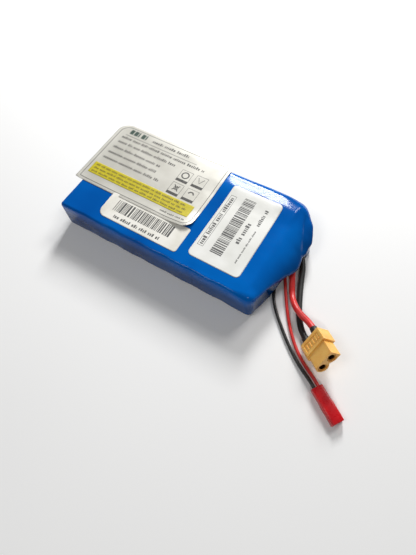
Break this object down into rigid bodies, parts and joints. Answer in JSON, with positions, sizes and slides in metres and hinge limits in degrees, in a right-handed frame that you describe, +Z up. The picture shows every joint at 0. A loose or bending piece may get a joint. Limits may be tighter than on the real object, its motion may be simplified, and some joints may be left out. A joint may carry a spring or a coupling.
{
  "type": "battery pack",
  "caption": "Flat lithium-ion battery pack: a row of round cells in a blue heat-shrink sleeve, with labels, two power leads to a two-pole connector and two charge leads to a small plug.",
  "frame": {"origin": "centre of the sleeve's flat bottom face, on the surface that the pack rests on, without the hood and labels", "axes": "+X along the row of cells towards the leads, +Y along each cell, away from the connectors' side, +Z up through the labelled face"},
  "size_m": [0.2, 0.1037, 0.02],
  "materials": {
    "sleeve_film": "glossy heat-shrink film",
    "silver_label": "satin silver foil",
    "white_label": "matte paper label",
    "can_steel": "plain drawn steel",
    "electrode": "wound foil",
    "cell_wrap": "thin glossy wrap",
    "cap_steel": "pressed steel",
    "gasket_plastic": "matte",
    "nickel": "rolled nickel strip",
    "sense_insulation": "satin",
    "glass_board": "matte glass laminate",
    "fish_paper": "matte card",
    "foam": "closed-cell foam",
    "circuit_board": "satin solder mask",
    "chip_plastic": "matte moulding",
    "resistor_ceramic": "matte",
    "solder": "satin",
    "red_silicone": "satin silicone",
    "black_silicone": "satin silicone",
    "amber_nylon": "satin nylon moulding",
    "gold_brass": "gold plated",
    "boot_tube": "satin",
    "red_plug": "semi-gloss moulding",
    "contact_metal": "tinned"
  },
  "bodies": {
    "root": {"back_card": "fish_paper", "back_foam": "foam", "barcode_label": "white_label", "bms_board": "circuit_board", "bms_controller": "chip_plastic", "bms_mosfets": "chip_plastic", "bms_resistors": "resistor_ceramic", "bottom_board": "glass_board", "cap_gaskets": "gasket_plastic", "cell_can_1": "can_steel", "cell_can_2": "can_steel", "cell_can_3": "can_steel", "cell_can_4": "can_steel", "cell_can_5": "can_steel", "cell_can_6": "can_steel", "cell_can_7": "can_steel", "cell_caps": "cap_steel", "cell_wrap_1": "cell_wrap", "cell_wrap_2": "cell_wrap", "cell_wrap_3": "cell_wrap", "cell_wrap_4": "cell_wrap", "cell_wrap_5": "cell_wrap", "cell_wrap_6": "cell_wrap", "cell_wrap_7": "cell_wrap", "charge_lead_black": "black_silicone", "charge_lead_red": "red_silicone", "connector_housing": "amber_nylon", "electrode_roll_1": "electrode", "electrode_roll_2": "electrode", "electrode_roll_3": "electrode", "electrode_roll_4": "electrode", "electrode_roll_5": "electrode", "electrode_roll_6": "electrode", "electrode_roll_7": "electrode", "end_board": "fish_paper", "front_card": "fish_paper", "front_foam": "foam", "negative_boot": "boot_tube", "negative_socket": "gold_brass", "negative_tab": "nickel", "nickel_link_1": "nickel", "nickel_link_2": "nickel", "nickel_link_3": "nickel", "nickel_link_4": "nickel", "nickel_link_5": "nickel", "nickel_link_6": "nickel", "plug_contacts": "contact_metal", "plug_housing": "red_plug", "positive_boot": "boot_tube", "positive_socket": "gold_brass", "positive_tab": "nickel", "power_lead_black": "black_silicone", "power_lead_red": "red_silicone", "product_label": "silver_label", "sense_wires_back": "sense_insulation", "sense_wires_front": "sense_insulation", "serial_label": "white_label", "shrink_sleeve": "sleeve_film", "solder_joints": "solder", "top_board": "glass_board"}
  },
  "joints": []
}
